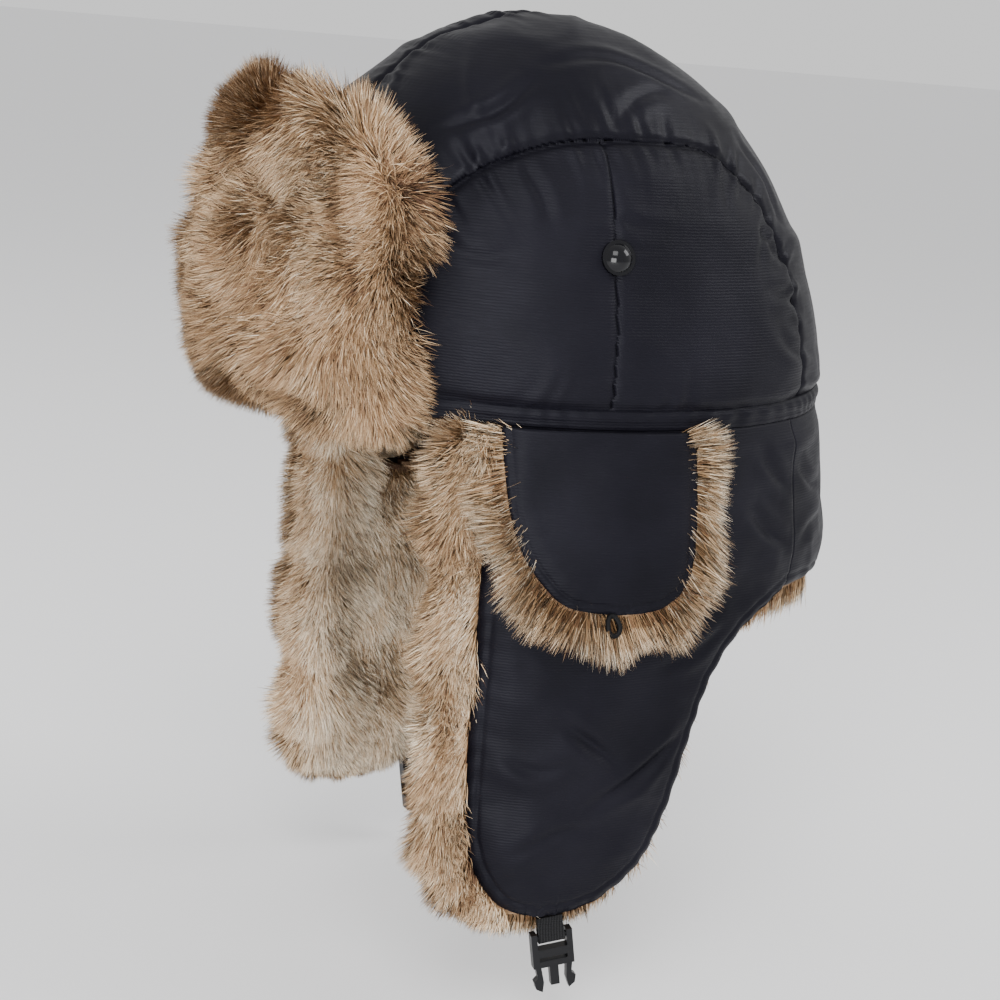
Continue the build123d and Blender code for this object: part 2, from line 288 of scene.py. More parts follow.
def nylon(name, rib_strength, shine):
    """Black woven nylon: fine cross ribs, faint crumple, slightly uneven sheen."""
    material = new_material(name, (0.006, 0.006, 0.008), shine, Specular_IOR_Level=0.10)
    material.node_tree.nodes["Principled BSDF"].inputs["Specular Tint"].default_value = (0.9, 0.91, 1.0, 1)
    across = stretched_coordinates(material, (1, 1, 1))
    ribs = add_node(material, "ShaderNodeTexWave", Scale=300.0, Distortion=2.2, bands_direction="Z")
    ribs.inputs["Detail Scale"].default_value = 2.0
    weave = add_node(material, "ShaderNodeTexNoise", Scale=2600.0, Detail=2.0)
    crumple = add_node(material, "ShaderNodeTexNoise", Scale=55.0, Detail=5.0)
    cloud = add_node(material, "ShaderNodeTexNoise", Scale=22.0, Detail=3.0)
    tree = material.node_tree
    streak = stretched_coordinates(material, (0.25, 0.25, 3.0))
    thread = add_node(material, "ShaderNodeTexNoise", Scale=420.0, Detail=3.0)
    tree.links.new(streak, thread.inputs["Vector"])
    for node in (ribs, weave, crumple, cloud):
        tree.links.new(across, node.inputs["Vector"])
    add_bump(
        material,
        [
            (crumple.outputs["Fac"], 0.35, 1.2),
            (ribs.outputs["Fac"], rib_strength, 0.12),
            (thread.outputs["Fac"], rib_strength, 0.10),
            (weave.outputs["Fac"], 0.12, 0.05),
        ],
    )
    mix_colors(material, cloud.outputs["Fac"], (0.0026, 0.0024, 0.0042), (0.0062, 0.0058, 0.0092), (0.3, 0.7))
    ramp_value(material, thread.outputs["Fac"], shine - 0.05, shine + 0.12, "Roughness")
    return material


def plastic(name, color, roughness, **sockets):
    """Moulded plastic with a faint grain."""
    material = new_material(name, color, roughness, **sockets)
    grain = add_node(material, "ShaderNodeTexNoise", Scale=900.0, Detail=4.0)
    material.node_tree.links.new(stretched_coordinates(material, (1, 1, 1)), grain.inputs["Vector"])
    add_bump(material, [(grain.outputs["Fac"], 0.15, 0.05)])
    return material


def webbing():
    """Woven tape: ribs across its length with a chevron of threads."""
    material = new_material("webbing", (0.006, 0.006, 0.007), 0.7, Specular_IOR_Level=0.15)
    tree = material.node_tree
    across = stretched_coordinates(material, (1, 1, 1))
    picks = add_node(material, "ShaderNodeTexWave", Scale=330.0, Distortion=0.6, bands_direction="Z")
    ends = add_node(material, "ShaderNodeTexWave", Scale=300.0, Distortion=0.6, bands_direction="Y")
    for node in (picks, ends):
        tree.links.new(across, node.inputs["Vector"])
    add_bump(material, [(picks.outputs["Fac"], 0.7, 0.3), (ends.outputs["Fac"], 0.5, 0.2)])
    mix_colors(material, ends.outputs["Fac"], (0.003, 0.003, 0.0035), (0.012, 0.012, 0.013), (0.2, 0.9))
    return material


def lining_cloth():
    """Smooth black lining with a faint twill."""
    material = new_material("lining", (0.012, 0.012, 0.014), 0.5, Sheen_Weight=0.2)
    twill = add_node(material, "ShaderNodeTexWave", Scale=260.0, Distortion=0.8, bands_direction="DIAGONAL")
    material.node_tree.links.new(stretched_coordinates(material, (1, 1, 1)), twill.inputs["Vector"])
    add_bump(material, [(twill.outputs["Fac"], 0.4, 0.1)])
    mix_colors(material, twill.outputs["Fac"], (0.009, 0.009, 0.011), (0.022, 0.022, 0.026), (0.3, 0.8))
    return material


def knit():
    """Brushed knit of the sweatband."""
    material = new_material("sweatband", (0.012, 0.012, 0.013), 0.9, Sheen_Weight=0.4)
    loops = add_node(material, "ShaderNodeTexVoronoi", Scale=700.0)
    material.node_tree.links.new(stretched_coordinates(material, (1, 1, 0.6)), loops.inputs["Vector"])
    add_bump(material, [(loops.outputs["Distance"], 0.7, 0.3)])
    mix_colors(material, loops.outputs["Distance"], (0.02, 0.02, 0.022), (0.008, 0.008, 0.009), (0.1, 0.7))
    return material


def fur_skin():
    """Backing under the pile: short dense brown underfur."""
    material = new_material("fur_skin", (0.16, 0.09, 0.05), 0.95)
    tree = material.node_tree
    place = stretched_coordinates(material, (1, 1, 1))
    patch = add_node(material, "ShaderNodeTexNoise", Scale=45.0, Detail=3.0)
    fuzz = add_node(material, "ShaderNodeTexNoise", Scale=900.0, Detail=3.0)
    for node in (patch, fuzz):
        tree.links.new(place, node.inputs["Vector"])
    mix_colors(material, patch.outputs["Fac"], (0.08, 0.038, 0.018), (0.30, 0.185, 0.10), (0.35, 0.65))
    add_bump(material, [(fuzz.outputs["Fac"], 0.9, 1.5)])
    return material


HAIR_SHADES = (
    ("hair_umber", (0.052, 0.022, 0.010)),
    ("hair_brown", (0.112, 0.053, 0.024)),
    ("hair_russet", (0.195, 0.103, 0.050)),
    ("hair_golden", (0.31, 0.185, 0.090)),
    ("hair_tan", (0.42, 0.27, 0.15)),
    ("hair_sand", (0.53, 0.365, 0.215)),
    ("hair_beige", (0.65, 0.48, 0.31)),
    ("hair_cream", (0.78, 0.63, 0.45)),
    ("hair_pale", (0.88, 0.77, 0.61)),
)

hair_materials = [
    new_material(name, color, 0.62, Specular_IOR_Level=0.25) for name, color in HAIR_SHADES
]
nylon_top = nylon("nylon_top", 0.15, 0.40)
nylon_side = nylon("nylon_side", 0.6, 0.48)
nylon_flap = nylon("nylon_flap", 0.4, 0.48)
lining_material = lining_cloth()
sweatband_material = knit()
webbing_material = webbing()
skin_material = fur_skin()


# ---- crown -------------------------------------------------------------------------
def spread_at(level):
    """The crown's width at a share of its height, as a share of the band's."""
    return np.sqrt(np.maximum(0, 1 - level**CROWN_FULLNESS))


def lean_at(level):
    """How far the crown's middle has moved forwards at a share of its height."""
    return -CROWN_LEAN * (1 - (1 - level) ** 2)


def crown_grid(rows, columns, inset, low):
    """Points of the crown's surface from a height up to the top."""
    rise = np.linspace(math.asin(low / CROWN_H), math.radians(89.3), rows)
    turn = np.linspace(0, 2 * math.pi, columns, endpoint=False)
    level = np.sin(rise)[:, None]
    x = (BAND_A - inset) * spread_at(level) * np.cos(turn)
    y = lean_at(level) + (BAND_B - inset) * spread_at(level) * np.sin(turn)
    z = (CROWN_H - inset) * level * np.ones_like(x)
    return np.stack([x, y, z], -1)


def crown_x(y, z):
    """The crown's half width at a side-view place."""
    level = np.clip(z / CROWN_H, 0, 1)
    inside = spread_at(level) ** 2 - ((y - lean_at(level)) / BAND_B) ** 2
    return BAND_A * np.sqrt(np.maximum(inside, 0))


D_SEAM = [(-98, 7), (-96, 40), (-90, 64), (-78, 78), (-62, 89), (-36, 97), (0, 98), (24, 94), (45, 79),
          (59, 58), (66, 36), (69, 7)]

# creases pressed into the padded cloth, each a short side-view line (y, z) with its depth
CREASES = (
    (((68, 40), (56, 45), (42, 47)), 1.8),
    (((63, 56), (50, 62), (40, 70)), 1.2),
    (((69, 22), (58, 25), (48, 31)), 1.2),
    (((50, 76), (42, 66), (38, 54)), 0.9),
    (((30, 94), (24, 84), (22, 72)), 0.8),
    (((-60, 90), (-52, 80), (-49, 68)), 0.9),
    (((-84, 60), (-72, 56), (-60, 58)), 1.0),
    (((-40, 120), (-10, 124), (30, 112)), 1.3),
    (((-78, 96), (-60, 104), (-44, 116)), 1.5),
    (((40, 100), (52, 88), (62, 70)), 1.2),
    (((-20, 104), (-8, 112), (8, 116)), 0.9),
    (((84, 50), (92, 30), (96, 12)), 1.2),
)


def seam_lines():
    """The sewn lines of the crown, as 3-D points: D seam and side seam on one side, and the centre seam."""
    d = curve_through(D_SEAM, 500)
    d_line = np.column_stack([crown_x(d[:, 0], d[:, 1]), d])
    z = np.linspace(8, 99.5, 150)
    y = np.full_like(z, SIDE_SEAM_Y)
    side_line = np.column_stack([crown_x(y, z), y, z])
    turn = np.linspace(0, math.pi, 500)
    level = np.sin(turn)
    signed = np.sign(np.cos(turn))
    y = lean_at(level) - BAND_B * spread_at(level) * signed
    centre_line = np.column_stack([0 * y, y, CROWN_H * level])
    return d_line, side_line, centre_line


def inside_d(points):
    """Which points lie within the D panel in side view."""
    d = curve_through(D_SEAM, 200)
    turn = np.arctan2(points[:, 2] - 40, points[:, 1] + 5)
    edge_turn = np.arctan2(d[:, 1] - 40, d[:, 0] + 5)
    edge_reach = np.hypot(d[:, 1] - 40, d[:, 0] + 5)
    order = np.argsort(edge_turn)
    limit = np.interp(turn, edge_turn[order], edge_reach[order])
    reach = np.hypot(points[:, 2] - 40, points[:, 1] + 5)
    below = (points[:, 2] < 20) & (np.abs(points[:, 1] + 6) < 73)
    return ((reach < limit) | below) & (np.abs(points[:, 0]) > 25)


def sewn(points, line, groove, width, puff, pucker, seed):
    """Height change beside a seam: a pinched groove, a pillow beyond it and cross puckers."""
    gap, along = nearest(points, line)
    wobble = waves(points, 26, seed)
    ripples = np.sin(2 * math.pi * along / 10.5 + 3.0 * wobble)
    ripples = ripples + 0.5 * np.sin(2 * math.pi * along / 5.7 + 2 * wobble)
    height = -groove * np.exp(-((gap / width) ** 2))
    height += puff * (1 - np.exp(-((gap / 13) ** 2)))
    fade = np.exp(-gap / 7) * (1 - np.exp(-((gap / 3.0) ** 2)))
    return height + pucker * ripples * fade * (0.35 + 1.1 * np.abs(wobble))


def onto_crown(side):
    """A side-view line (y, z) laid on the crown."""
    return np.column_stack([crown_x(side[:, 0], side[:, 1]), side])


def pressed_creases(points, creases_in, onto):
    """Depth of listed creases, soft on one side and sharp on the other; onto lays their lines in 3-D."""
    height = np.zeros(len(points))
    for knots, depth in creases_in:
        line = onto(curve_through(knots, 60))
        gap, along = nearest(points, line)
        length = np.linalg.norm(np.diff(line, axis=0), axis=1).sum()
        fade = np.sin(np.clip(along / length, 0.02, 0.98) * math.pi) ** 0.7
        near = gap < 16
        height[near] -= depth * fade[near] * np.exp(-((gap[near] / 2.3) ** 2))
        height[near] += 0.55 * depth * fade[near] * np.exp(-(((gap[near] - 5.0) / 3.2) ** 2))
    return height


def make_crown():
    """The nylon crown: two gores and four side-panel pieces cut from one puckered surface."""
    rows, columns = 225, 600
    grid = crown_grid(rows, columns, 1.0, 5.0)
    normals = -grid_normals(np.concatenate([grid, grid[:, :1]], 1))[:, :-1]
    points = grid.reshape(-1, 3)
    outward = normals.reshape(-1, 3)
    outward[(outward * (points - [0, -8, 30])).sum(1) < 0] *= -1
    d_line, side_line, centre_line = seam_lines()
    folded = np.abs(points) * [1, 0, 0] + points * [0, 1, 1]
    height = sewn(folded, d_line, 2.7, 1.9, 1.6, 0.75, 3)
    height += pressed_creases(folded, CREASES, onto_crown)
    in_d = inside_d(points)
    side_height = sewn(folded, side_line, 1.5, 1.5, 0.7, 0.4, 4)
    height += np.where(in_d, side_height, 0)
    centre_height = sewn(points, centre_line, 2.0, 1.7, 0.9, 0.6, 5)
    height += np.where(in_d, 0.8, centre_height)
    band_gap = points[:, 2] - BAND_HEIGHT
    along = np.arctan2(points[:, 1], points[:, 0]) * 100
    gather = np.sin(along / 2.4 + 4 * waves(points, 30, 6)) * ease(waves(points, 22, 7), -0.5, 0.8)
    height += 0.6 * gather * np.exp(-np.maximum(band_gap, 0) / 8)
    height -= 1.4 * np.exp(-((band_gap / 2.2) ** 2))
    height += 0.9 * waves(points, 42, 8) + 0.35 * waves(points, 17, 9)
    height += np.where(in_d, 0.4, 0.9) * creases(points * [1, 1, 1.4], 34, 10)
    height *= ease(points[:, 2], 4, 9)
    # the cloth lies flat under the hook and loop patch on the front
    beside = ease(24 - np.abs(points[:, 0]), 0, 4)
    under_patch = beside * ease(points[:, 2], 53, 58) * ease(81 - points[:, 2], 0, 5)
    height *= 1 - under_patch * (points[:, 1] < 0)
    points = points + outward * height[:, None]
    faces = grid_faces(rows, columns, closed=True)[:, ::-1]
    top = len(points)
    crest = points[-columns:].mean(0)
    points = np.vstack([points, crest])
    outer = np.arange((rows - 1) * columns, rows * columns)
    cap = np.stack([outer, np.roll(outer, -1), np.full(columns, top), np.full(columns, top)], -1)
    whole = add_mesh("crown_whole", points, faces, [])
    vertex_normals = np.zeros(len(points) * 3, np.float32)
    whole.data.vertices.foreach_get("normal", vertex_normals)
    bpy.data.objects.remove(whole)
    vertex_normals = vertex_normals.reshape(-1, 3)
    vertex_normals[-1] = (0, 0, 1)
    vertex_normals[-columns - 1 : -1] = (0, 0, 1)
    flip = np.sign((vertex_normals * (points - [0, -8, 30])).sum(1))
    vertex_normals *= np.where(flip == 0, 1, flip)[:, None]
    tris = np.concatenate([faces[:, [0, 1, 2]], faces[:, [0, 2, 3]], cap[:, :3]])
    centre = points[tris].mean(1)
    panel = inside_d(centre)
    pieces = {}
    for side, sign in SIDES:
        half = centre[:, 0] * sign > 0
        pieces[f"crown_top_{side}"] = half & ~panel
        pieces[f"side_panel_front_{side}"] = half & panel & (centre[:, 1] < SIDE_SEAM_Y)
        pieces[f"side_panel_back_{side}"] = half & panel & (centre[:, 1] >= SIDE_SEAM_Y)
    for node, mask in pieces.items():
        material = nylon_top if node.startswith("crown_top") else nylon_side
        kept, kept_faces, kept_normals = drop_loose(points, tris[mask], vertex_normals)
        piece = add_mesh(f"{node}_cloth", kept, kept_faces, [material], normals=kept_normals)
        thicken(piece, 1.0)
        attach(piece, "crown")
        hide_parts(node)


def thicken(piece, depth):
    """Gives an open sheet a thickness inwards."""
    solidify = piece.modifiers.new("thickness", "SOLIDIFY")
    solidify.thickness = depth * MM
    solidify.offset = -1
    solidify.use_rim = True


def oval_frame(turn, off):
    """Point and outward direction on the band's oval, grown by off."""
    a = BAND_A + off
    b = BAND_B + off
    point = np.stack([a * np.cos(turn), b * np.sin(turn), 0 * turn], -1)
    out = unit(np.stack([np.cos(turn) / a, np.sin(turn) / b, 0 * turn], -1))
    return point, out


def make_headband():
    """The rolled strip round the opening, with puckers between its two rows of stitches."""
    columns = 560
    turn = np.linspace(0, 2 * math.pi, columns, endpoint=False)
    ring, out = oval_frame(turn, 0)
    profile = [(-3.4, 6.6), (-1.4, 7.1), (-0.2, 6.7), (0.7, 5.6), (1.0, 4.2), (0.9, 2.8), (0.3, 1.5),
               (0.6, 0.3), (0.2, -0.9), (-1.0, -1.6), (-3.2, -1.3)]
    rows = []
    for off, z in profile:
        place = ring * [1, 1, 0] + np.array([0, 0, z])
        gather = np.sin(turn * 74 + 5 * waves(place, 30, 12))
        gather = gather * ease(waves(place * [1, 1, 0], 24, 14), -0.6, 0.9)
        ripple = 0.3 * gather + 0.3 * waves(place, 12, 13)
        rows.append(place + out * (off + ripple * (0.3 + max(off, 0)))[:, None])
    grid = np.array(rows)
    faces = grid_faces(len(profile), columns, True)
    piece = add_mesh("headband_strip", grid.reshape(-1, 3), faces, [nylon_side])
    smooth_surface(piece, 1)
    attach(piece, "crown")
    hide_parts("headband")


def smooth_surface(piece, levels):
    """Rounds a piece off with subdivision."""
    modifier = piece.modifiers.new("smooth", "SUBSURF")
    modifier.levels = levels
    modifier.render_levels = levels


def make_lining():
    """Quilted lining dome inside the crown."""
    rows, columns = 70, 180
    grid = crown_grid(rows, columns, 6.2, 1.0)
    points = grid.reshape(-1, 3)
    inward = unit(np.array([0, -8, 40]) - points)
    turn = np.arctan2(points[:, 1], points[:, 0])
    rising = np.abs(np.sin(turn * 9 + points[:, 2] / 14))
    falling = np.abs(np.sin(turn * 9 - points[:, 2] / 14))
    diamonds = np.minimum(rising, falling)
    points = points + inward * (1.6 * np.sqrt(diamonds) - 0.4)[:, None]
    faces = grid_faces(rows, columns, True)
    piece = add_mesh("crown_lining_cloth", points, faces, [lining_material])
    thicken(piece, 0.8)
    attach(piece, "crown")
    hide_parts("crown_lining", "crown_padding")


def make_sweatband():
    """Brushed knit band inside the opening."""
    columns = 300
    profile = [(-5.2, 0.6), (-7.0, 0.3), (-8.3, 1.6), (-8.6, 8), (-8.8, 16), (-8.7, 24), (-8.0, 27),
               (-6.4, 28)]
    turn = np.linspace(0, 2 * math.pi, columns, endpoint=False)
    rows = []
    for off, z in profile:
        ring, out = oval_frame(turn, off)
        ripple = 0.25 * waves(ring + [0, 0, z], 14, 21)
        rows.append(ring + out * ripple[:, None] + [0, 0, z])
    grid = np.array(rows)
    faces = grid_faces(len(rows), columns, True)
    piece = add_mesh("sweatband_knit", grid.reshape(-1, 3), faces, [sweatband_material])
    thicken(piece, 0.6)
    smooth_surface(piece, 1)
    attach(piece, "crown")
    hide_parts("sweatband")


# ---- flap outlines ---------------------------------------------------------------------
EAR_DROP = 187.0
EAR_REAR = [(SPLIT_Y - 0.2, -1), (SPLIT_Y - 0.2, -NECK_DROP), (43, -79), (31, -97), (24, -121), (17.5, -147),
            (8, -168), (-8, -181), (-22, -186), (-30, -EAR_DROP)]
EAR_FRONT = [(-65, -1), (-64, -60), (-63, -142), (-60.5, -163), (-55, -175.5), (-48, -183.5), (-40, -186.6),
             (-30, -EAR_DROP)]


def outline_at(z, line):
    """The side-view outline's place along Y at each height."""
    smooth = np.array(line) if line is EAR_REAR else curve_through(line, 300)
    if line is EAR_REAR:
        smooth = np.vstack([line[0], curve_through(line[1:], 300)])
    order = np.argsort(smooth[:, 1])
    return np.interp(z, smooth[order, 1], smooth[order, 0])


def flared(grid):
    """Lets the neck flap, and the ear flaps' rear beside it, stand out towards their lower edges."""
    out = band_out(grid)
    amount = 9.5 * ease(grid[..., 1], 5, 85) * ease(-grid[..., 2], -5, 75)
    return grid + out * amount[..., None]


def onto_flap(side):
    """A side-view line (y, z) laid on the flaps' surface."""
    x = BAND_A * np.sqrt(1 - (side[:, 0] / BAND_B) ** 2)
    return flared(np.column_stack([x, side]))


FLAP_CREASES = (
    (((-33, -109), (-21, -118), (-8, -128)), 1.7),
    (((-21, -143), (1, -132), (22, -114)), 1.8),
    (((-53, -124), (-40, -128), (-27, -125)), 0.9),
    (((5, -90), (20, -85), (33, -76)), 1.2),
    (((38, -33), (49, -42), (58, -47)), 1.4),
    (((43, -11), (51, -19), (58, -26)), 1.2),
    (((-47, -161), (-31, -153), (-15, -151)), 0.8),
    (((66, -18), (76, -27), (85, -30)), 1.3),
    (((65, -48), (75, -43), (86, -42)), 1.0),
)


def ear_grid(rows, columns, grow_front, grow_foot, off):
    """Scan-line grid of an ear flap on the band's oval, off outwards."""
    v = np.linspace(0, 1, rows)
    depth = EAR_DROP + grow_foot
    z = -1 - (depth - 1) * (1 - (1 - v) ** 1.35)
    base_z = -1 + (z + 1) * ((EAR_DROP - 1) / (depth - 1))
    front = outline_at(base_z, EAR_FRONT) - grow_front * ease(-z, 0, 12)
    rear = outline_at(base_z, EAR_REAR) - 0.25 * grow_front * ease(-z, 59, 73)
    u = np.linspace(0, 1, columns)
    y = front[:, None] + (rear - front)[:, None] * u
    off = np.broadcast_to(off, y.shape)
    x = (BAND_A + off) * np.sqrt(1 - (y / (BAND_B + off)) ** 2)
    return flared(np.stack([x, y, z[:, None] * np.ones_like(y)], -1))


def edge_gap(grid):
    """Distance of each grid point from the flap's free edges (not from its top)."""
    front = grid[:, :1]
    rear = grid[:, -1:]
    points = grid.reshape(-1, 3)
    edge = np.concatenate([front[:, 0], grid[-1], rear[::-1, 0]])
    free = (edge[:, 1] < SPLIT_Y - 3) | (edge[:, 2] < -NECK_DROP + 0.5)
    gap, along = nearest(points, edge[free])
    return gap.reshape(grid.shape[:2]), along.reshape(grid.shape[:2])


def in_vent(points, grow=0.0):
    """Which points lie in the ear vent, a U shape under its cover flap."""
    half = 19.0 + grow
    bottom = -54.0 - grow
    y = np.abs(points[..., 1] - VENT_Y)
    z = points[..., 2]
    low = bottom + half * 0.9
    round_part = (z < low) & ((y / half) ** 2 + ((low - z) / (half * 0.9)) ** 2 < 1)
    return ((y < half) & (z > low) & (z < -17.0 + grow)) | round_part


def blend_fold(piece):
    """Bakes a piece's placement into its mesh."""
    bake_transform(piece)


def blend_vent(piece):
    """Bakes a cover flap's piece's placement into its mesh."""
    blend_fold(piece)


def padded_height(grid, gap, phase):
    """How far a flap's padded cloth stands out: pillow, stitched hem, puckers, wrinkles and creases."""
    flat = grid.reshape(-1, 3)
    one_side = np.column_stack([np.abs(flat[:, 0]), flat[:, 1:]])
    puff = 2.0 * ease(gap, 0, 16) - 2.6 * np.exp(-gap / 1.5)
    hem = -0.6 * np.exp(-(((gap - 5.0) / 0.9) ** 2))
    ripple = 0.35 * np.sin(phase + 2 * waves(flat, 25, 31).reshape(gap.shape)) * np.exp(-gap / 7)
    wrinkle = 1.0 * waves(flat, 40, 32) + 0.5 * waves(flat * [1, 1, 1.6], 18, 33)
    fold = 0.8 * creases(flat * [1, 0.8, 1.9], 60, 34) + 0.35 * creases(flat * [1, 1, 1.4], 30, 35)
    pressed = pressed_creases(one_side, FLAP_CREASES, onto_flap)
    body = (wrinkle + fold + pressed).reshape(gap.shape) * ease(gap, 0, 14)
    return (puff + hem + ripple + body) * ease(-grid[..., 2], 0, 10)


def make_ear_flaps():
    rows, columns = 210, 132
    grid = ear_grid(rows, columns, 0, 0, 0.0)
    gap, along = edge_gap(grid)
    out = band_out(grid)
    outer = grid + out * padded_height(grid, gap, along / 1.7)[..., None]
    inner = grid - out * 5.2
    middle = (grid[:-1, :-1] + grid[1:, 1:]) / 2
    keep = ~in_vent(middle)
    points, faces = closed_sheet(outer, inner, keep)
    points, faces = drop_loose(points, faces)
    for side, sign in SIDES:
        placed, turned = mirrored(points, faces, sign)
        piece = add_mesh(f"ear_flap_cloth_{side}", placed, turned, [nylon_flap])
        blend_fold(piece)
        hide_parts(f"ear_flap_shell_{side}", f"ear_flap_padding_{side}")


def make_neck_flap():
    rows, columns = 84, 250
    limit = math.asin((SPLIT_Y + 0.2) / BAND_B)
    turn = np.linspace(limit, math.pi - limit, columns)
    ring, out = oval_frame(turn, 0)
    v = np.linspace(0, 1, rows)
    z = -1 - (NECK_DROP - 1) * v
    grid = flared(ring[None] + np.array([0, 0, 1.0]) * z[:, None, None])
    out = np.broadcast_to(out[None], grid.shape)
    gap = grid[..., 2] + NECK_DROP
    outer = grid + out * padded_height(grid, gap, turn[None] * 60)[..., None]
    inner = grid - out * 5.2
    points, faces = closed_sheet(outer, inner)
    piece = add_mesh("neck_flap_cloth", points, faces[:, ::-1], [nylon_flap])
    blend_fold(piece)
    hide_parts("neck_flap_shell", "neck_flap_padding")


# ---- vent flaps ---------------------------------------------------------------------------
VENT_FRONT = [(-63, -1), (-62, -16), (-60, -32), (-56, -45), (-48.5, -56), (-40, -62.6), (-24, -65)]
VENT_REAR = [(8.5, -1), (9.5, -20), (9.5, -38), (8, -50), (3, -58.4), (-7, -63.7), (-24, -65)]
VENT_OFF = 2.0
VENT_SLOPE = 0.16


def vent_point(y, z, lift):
    """A place on the cover flap, which stands off the ear flap towards its tip."""
    off = VENT_OFF - VENT_SLOPE * z + lift
    x = (BAND_A + off) * np.sqrt(1 - (y / (BAND_B + off)) ** 2)
    return np.stack([x, y, z * np.ones_like(y)], -1)


def vent_grid(rows, columns, grow, lift, top=1.0):
    v = np.linspace(0, 1, rows)
    z = -top - (65.0 - top + grow) * (1 - (1 - v) ** 1.5)
    base = -1 + (z + 1) * 64.0 / (64.0 + grow)
    front_line = curve_through(VENT_FRONT, 200)
    rear_line = curve_through(VENT_REAR, 200)
    front = np.interp(-base, -front_line[:, 1], front_line[:, 0]) - grow * ease(-z, 4, 14)
    rear = np.interp(-base, -rear_line[:, 1], rear_line[:, 0]) + grow * ease(-z, 4, 14)
    u = np.linspace(0, 1, columns)
    y = front[:, None] + (rear - front)[:, None] * u
    return vent_point(y, z[:, None], lift)


def make_vent_flaps():
    rows, columns = 90, 84
    grid = vent_grid(rows, columns, 0, 0.6)
    edge = np.concatenate([grid[:, 0], grid[-1], grid[::-1, -1]])
    flat = grid.reshape(-1, 3)
    gap, along = nearest(flat, edge)
    height = 0.9 * ease(gap, 0, 9) - 0.9 * np.exp(-gap / 0.9) - 0.5 * np.exp(-(((gap - 3.2) / 0.7) ** 2))
    height += 0.2 * np.sin(along / 1.4) * np.exp(-gap / 4) + 0.55 * waves(flat, 26, 41) * ease(gap, 0, 10)
    out = band_out(flat)
    outer = (flat + out * height[:, None]).reshape(grid.shape)
    inner = grid - out.reshape(grid.shape) * 1.4
    points, faces = closed_sheet(outer, inner)
    for side, sign in SIDES:
        placed, turned = mirrored(points, faces, sign)
        piece = add_mesh(f"vent_flap_cloth_{side}", placed, turned, [nylon_side])
        blend_vent(piece)
        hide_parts(f"vent_flap_shell_{side}")


def u_line(half, top, bottom, count=160):
    """Closed U outline in side view."""
    low = bottom + half * 0.9
    turn = np.linspace(0, math.pi, count // 2)
    arc = np.column_stack([VENT_Y + half * np.cos(turn), low - half * 0.9 * np.sin(turn)])
    up = np.linspace(low, top, count // 8)[1:]
    across = np.linspace(-half, half, count // 6)[1:]
    left = np.column_stack([np.full_like(up, VENT_Y - half), up])
    along = np.column_stack([VENT_Y + across, np.full_like(across, top)])
    right = np.column_stack([np.full_like(up, VENT_Y + half), up[::-1]])[1:-1]
    return np.vstack([arc, left, along, right])


def tube(path, radius, sides, closed, flatten=None):
    """A tube of round section along a path; flatten scales the section along +X."""
    count = len(path)
    if closed:
        run = unit(np.roll(path, -1, 0) - np.roll(path, 1, 0))
    else:
        run = unit(np.gradient(path, axis=0))
    side = unit(np.cross(run, np.array([1.0, 0.05, 0.02])))
    up = np.cross(side, run)
    turn = np.linspace(0, 2 * math.pi, sides, endpoint=False)
    radius = np.broadcast_to(radius, count)[:, None, None]
    across = side[:, None] * np.cos(turn)[None, :, None]
    ring = across + up[:, None] * np.sin(turn)[None, :, None] * (flatten or 1)
    points = path[:, None] + ring * radius
    rows = count + 1 if closed else count
    faces = grid_faces(rows, sides, True) % (count * sides)
    return points.reshape(-1, 3), faces


def make_bindings():
    """Bound edge of each ear vent, as a flattened tube."""
    line = u_line(20.0, -16.0, -55.0)
    off = -1.6
    x = (BAND_A + off) * np.sqrt(1 - (line[:, 0] / (BAND_B + off)) ** 2)
    path = np.column_stack([x, line])
    points, faces = tube(path, 2.0, 14, True, flatten=1.5)
    for side, sign in SIDES:
        placed, turned = mirrored(points, faces, sign)
        piece = add_mesh(f"vent_binding_edge_{side}", placed, turned, [nylon_flap])
        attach(piece, f"{side}_ear_flap")
        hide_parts(f"vent_binding_{side}")


def make_loops():
    """Braided elastic loop at the cover flap's tip."""
    turn = np.linspace(0, 2 * math.pi, 60)
    z = -68.6 + 3.3 * np.cos(turn) * (1 + 0.12 * np.cos(turn))
    y = VENT_Y + 2.2 * np.sin(turn)
    base = vent_point(y, z, 2.2 - 1.6 * np.maximum(np.cos(turn), 0))
    braid = 0.95 + 0.1 * np.sin(turn * 26)
    points, faces = tube(base[:-1], braid[:-1], 12, True)
    loop_material = new_material("elastic", (0.003, 0.003, 0.0035), 0.6, Specular_IOR_Level=0.12)
    for side, sign in SIDES:
        placed, turned = mirrored(points, faces, sign)
        piece = add_mesh(f"vent_loop_elastic_{side}", placed, turned, [loop_material])
        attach(piece, f"{side}_vent_flap")
        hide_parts(f"vent_loop_{side}")


# ---- fur -----------------------------------------------------------------------------------
def scatter(points, faces, count, draw, weight=None):
    """Random roots on a mesh, by area: places and normals."""
    tris = np.concatenate([faces[:, [0, 1, 2]], faces[:, [0, 2, 3]]]) if faces.shape[1] == 4 else faces
    a, b, c = points[tris[:, 0]], points[tris[:, 1]], points[tris[:, 2]]
    cross = np.cross(b - a, c - a)
    area = np.linalg.norm(cross, axis=1)
    if weight is not None:
        area = area * weight((a + b + c) / 3)
    picked = draw.choice(len(tris), size=count, p=area / area.sum())
    r1 = np.sqrt(draw.random(count))[:, None]
    r2 = draw.random(count)[:, None]
    place = (1 - r1) * a[picked] + r1 * (1 - r2) * b[picked] + r1 * r2 * c[picked]
    return place, unit(cross)[picked]


